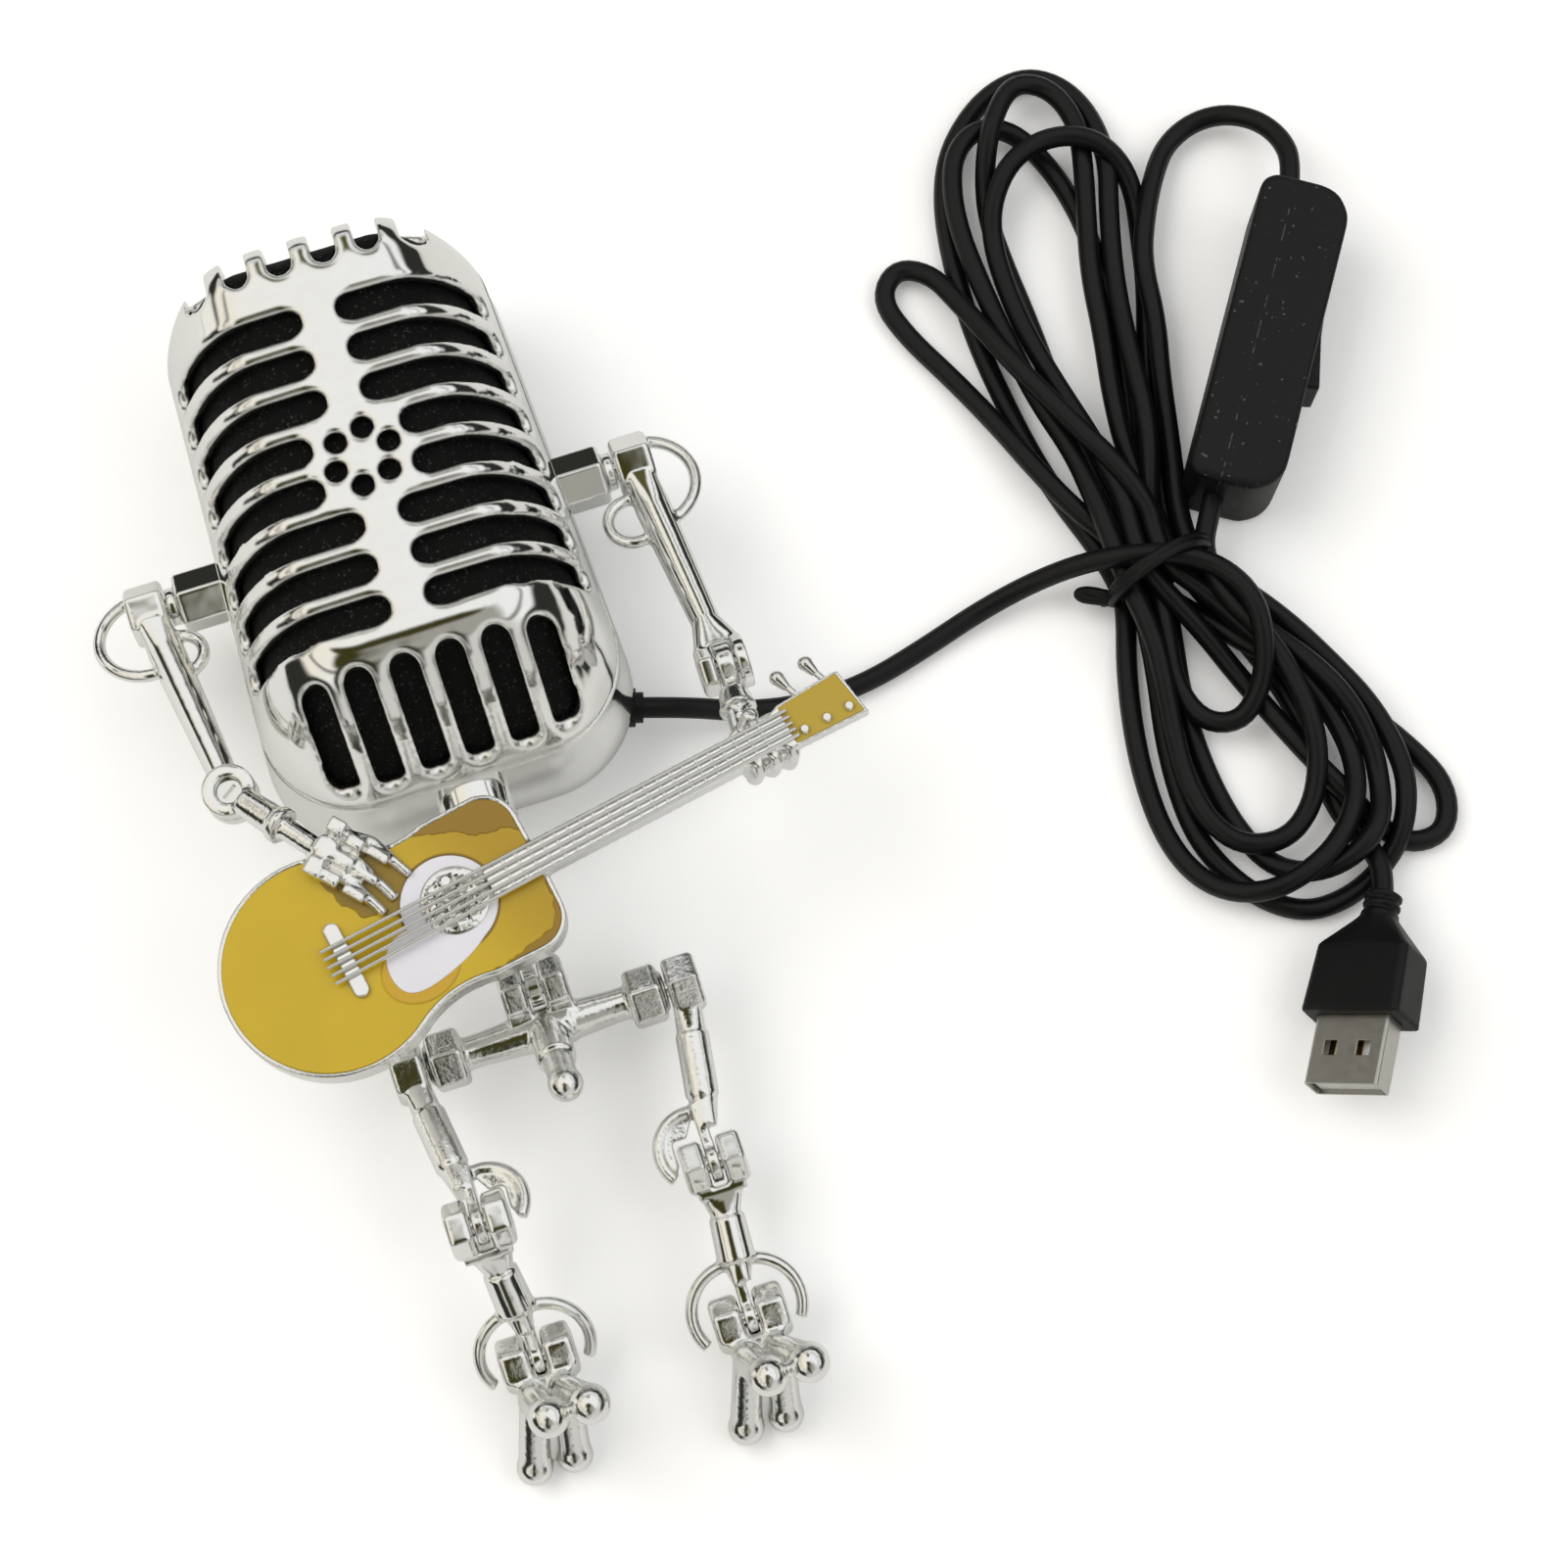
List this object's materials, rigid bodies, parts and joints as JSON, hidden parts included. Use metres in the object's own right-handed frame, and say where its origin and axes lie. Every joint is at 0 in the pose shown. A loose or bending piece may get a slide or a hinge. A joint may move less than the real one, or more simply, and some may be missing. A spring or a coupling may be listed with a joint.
{
  "type": "robot desk lamp",
  "caption": "Jointed metal robot lamp with a slotted capsule head for the LED, a small guitar, hinged arms and legs, and a tied USB cord with an inline rocker switch.",
  "frame": {"origin": "middle of the flat back of the head, on which the lamp lies", "axes": "+Z out of the robot's front, +Y from the feet to the top of the head, +X to the robot's left"},
  "size_m": [0.2063, 0.1935, 0.0455],
  "materials": {
    "chrome": "polished cast metal, chrome plated",
    "bright_steel": "polished pins and screws",
    "grille_cloth": "black woven",
    "circuit_board": "white solder mask",
    "led": "yellow LED",
    "ochre_enamel": "poured ochre enamel",
    "pale_enamel": "poured pale grey enamel",
    "black_plastic": "moulded satin",
    "black_cord": "matt flexible cord",
    "brass_contact": "plain",
    "nickel_shell": "nickel plated sheet",
    "white_plastic": "plain"
  },
  "bodies": {
    "head": {"front_shell": "chrome", "rear_shell": "chrome", "grille_cloth": "grille_cloth", "led_board": "circuit_board", "led_chips": "led", "board_screws": "bright_steel", "shell_screws": "bright_steel", "cord_gland": "black_plastic", "right_shoulder_boss": "chrome", "left_shoulder_boss": "chrome", "shoulder_pins": "bright_steel", "neck_collar": "chrome", "spine_rod": "chrome", "lead_cord": "black_cord", "switch_loop_cord": "black_cord", "switch_tail_cord": "black_cord", "plug_lead_cord": "black_cord", "cord_hank": "black_cord", "twist_tie": "black_plastic", "switch_bottom_cover": "black_plastic", "switch_top_cover": "black_plastic", "rocker_pin": "bright_steel", "switch_contacts": "brass_contact", "plug_body": "black_plastic", "plug_shell": "nickel_shell", "plug_tongue": "white_plastic", "plug_contacts": "brass_contact"},
    "guitar_arm": {"right_upper_arm": "chrome", "right_elbow_screw": "bright_steel", "guitar_casting": "chrome", "guitar_enamel": "ochre_enamel", "rosette_enamel": "pale_enamel", "headstock_enamel": "ochre_enamel", "guitar_bridge": "chrome", "guitar_strings": "bright_steel", "tuner_pegs": "bright_steel"},
    "left_arm": {"left_upper_arm": "chrome", "left_elbow_pin": "bright_steel"},
    "pelvis": {"pelvis": "chrome", "waist_pin": "bright_steel", "hip_pins": "bright_steel"},
    "right_thigh": {"right_thigh": "chrome"},
    "right_shin": {"right_shin": "chrome", "right_knee_pin": "bright_steel"},
    "right_foot": {"right_foot": "chrome", "right_ankle_pin": "bright_steel"},
    "left_thigh": {"left_thigh": "chrome"},
    "left_shin": {"left_shin": "chrome", "left_knee_pin": "bright_steel"},
    "left_foot": {"left_foot": "chrome", "left_ankle_pin": "bright_steel"},
    "rocker": {"switch_rocker": "black_plastic"}
  },
  "joints": [
    {"name": "right_shoulder", "type": "hinge", "parent": "head", "child": "guitar_arm", "pos_m": [-0.03825, 0.0006, 0.018], "axis": [-1, 0, 0], "range_deg": [-4, 120]},
    {"name": "left_shoulder", "type": "hinge", "parent": "head", "child": "left_arm", "pos_m": [0.03825, 0.0006, 0.018], "axis": [-1, 0, 0], "range_deg": [-4, 120]},
    {"name": "waist", "type": "hinge", "parent": "head", "child": "pelvis", "pos_m": [0, -0.0716, 0.0162], "axis": [-1, 0, 0], "range_deg": [-20, 12]},
    {"name": "right_hip", "type": "hinge", "parent": "pelvis", "child": "right_thigh", "pos_m": [-0.0211, -0.0776, 0.014], "axis": [-1, 0, 0], "range_deg": [-20, 35]},
    {"name": "right_knee", "type": "hinge", "parent": "right_thigh", "child": "right_shin", "pos_m": [-0.0173, -0.10291, 0.02126], "axis": [1, 0, 0], "range_deg": [-48, 50]},
    {"name": "right_ankle", "type": "hinge", "parent": "right_shin", "child": "right_foot", "pos_m": [-0.0155, -0.12235, 0.00911], "axis": [-1, 0, 0], "range_deg": [-25, 25]},
    {"name": "left_hip", "type": "hinge", "parent": "pelvis", "child": "left_thigh", "pos_m": [0.0211, -0.0776, 0.014], "axis": [-1, 0, 0], "range_deg": [-20, 35]},
    {"name": "left_knee", "type": "hinge", "parent": "left_thigh", "child": "left_shin", "pos_m": [0.0173, -0.10391, 0.01308], "axis": [1, 0, 0], "range_deg": [-8, 85]},
    {"name": "left_ankle", "type": "hinge", "parent": "left_shin", "child": "left_foot", "pos_m": [0.0155, -0.12649, 0.0091], "axis": [-1, 0, 0], "range_deg": [-25, 25]},
    {"name": "rocker_tilt", "type": "hinge", "parent": "head", "child": "rocker", "pos_m": [0.14342, -0.0094, 0.0085], "axis": [0, 0, 1], "range_deg": [-11, 0]}
  ],
  "couplings": [
    {"joint": "left_shoulder", "follows": "right_shoulder", "ratio": 1}
  ]
}
